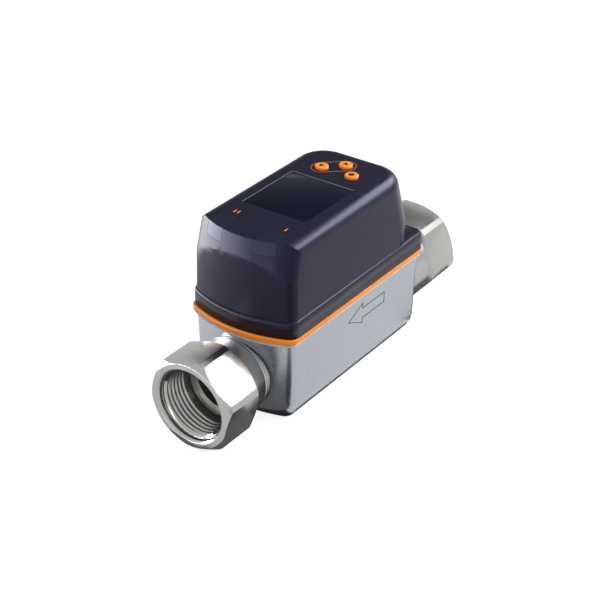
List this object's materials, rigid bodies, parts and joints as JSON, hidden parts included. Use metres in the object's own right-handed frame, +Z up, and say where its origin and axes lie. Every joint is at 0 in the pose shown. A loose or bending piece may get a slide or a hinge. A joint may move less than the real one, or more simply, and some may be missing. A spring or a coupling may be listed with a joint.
{
  "type": "vortex flow sensor",
  "caption": "In-line vortex flow sensor: satin body on a threaded pipe with hexagon ports, and a dark display head with window, buttons and status lights.",
  "frame": {"origin": "centre of the flat underside of the body, half way between the two hexagon ports", "axes": "+X along the pipe in the direction of flow, +Y to the side of the body with the flow arrow, +Z up from the underside to the display"},
  "size_m": [0.1424, 0.0526, 0.0714],
  "materials": {
    "satin_metal": "satin metallic coat on the cast body",
    "port_steel": "machined and lightly polished stainless steel",
    "clip_steel": "bright spring steel",
    "tube_plastic": "glass-filled plastic",
    "seal_rubber": "smooth black rubber",
    "gasket": "light grey seal",
    "accent_plastic": "orange moulded plastic",
    "frame_plastic": "fine satin moulded plastic",
    "hood_plastic": "fine satin moulded plastic",
    "window_glass": "dark clear cover",
    "button_plastic": "light orange plastic",
    "light_guide": "smoky clear plastic",
    "sensor_plastic": "glass-filled plastic",
    "screw_steel": "plain stainless steel",
    "circuit_board": "green solder mask",
    "black_plastic": "black moulded plastic",
    "led_plastic": "milky lamp body",
    "wire_copper": "bare copper",
    "cable_film": "amber film",
    "plated_brass": "nickel plated",
    "gold_contact": "gold plated"
  },
  "bodies": {
    "sensor": {"accent_ring": "accent_plastic", "base_frame": "frame_plastic", "bluff_body": "sensor_plastic", "board_spacers": "screw_steel", "cable_sockets": "black_plastic", "charge_amplifier": "black_plastic", "clamp_plate": "screw_steel", "clamp_screws": "screw_steel", "connector_board": "circuit_board", "connector_insert": "black_plastic", "connector_nut": "plated_brass", "connector_o_ring": "seal_rubber", "connector_pins": "gold_contact", "connector_shell": "plated_brass", "display_board": "circuit_board", "display_board_screws": "screw_steel", "display_cable": "cable_film", "display_module": "black_plastic", "display_window": "window_glass", "frame_screws": "screw_steel", "hood_seal": "seal_rubber", "housing_gasket": "gasket", "inlet_adapter": "port_steel", "inlet_clip": "clip_steel", "inlet_o_ring": "seal_rubber", "insert_seals": "seal_rubber", "key_switches": "black_plastic", "led_chips": "led_plastic", "left_light_guide": "light_guide", "lower_housing": "satin_metal", "main_board": "circuit_board", "measuring_tube": "tube_plastic", "outlet_adapter": "port_steel", "outlet_clip": "clip_steel", "outlet_o_ring": "seal_rubber", "processor_chip": "black_plastic", "right_light_guide": "light_guide", "sensor_wires": "wire_copper", "temperature_probe": "screw_steel", "upper_housing": "hood_plastic", "vortex_sensor": "sensor_plastic"},
    "right_key": {"right_button": "button_plastic"},
    "up_key": {"up_button": "button_plastic"},
    "enter_key": {"enter_button": "button_plastic"}
  },
  "joints": [
    {"name": "right_press", "type": "slide", "parent": "sensor", "child": "right_key", "axis": [0, 0, -1], "range_m": [0, 0.0004], "stiffness_N_per_m": 1500},
    {"name": "up_press", "type": "slide", "parent": "sensor", "child": "up_key", "axis": [0, 0, -1], "range_m": [0, 0.0004], "stiffness_N_per_m": 1500},
    {"name": "enter_press", "type": "slide", "parent": "sensor", "child": "enter_key", "axis": [0, 0, -1], "range_m": [0, 0.0004], "stiffness_N_per_m": 1500}
  ]
}
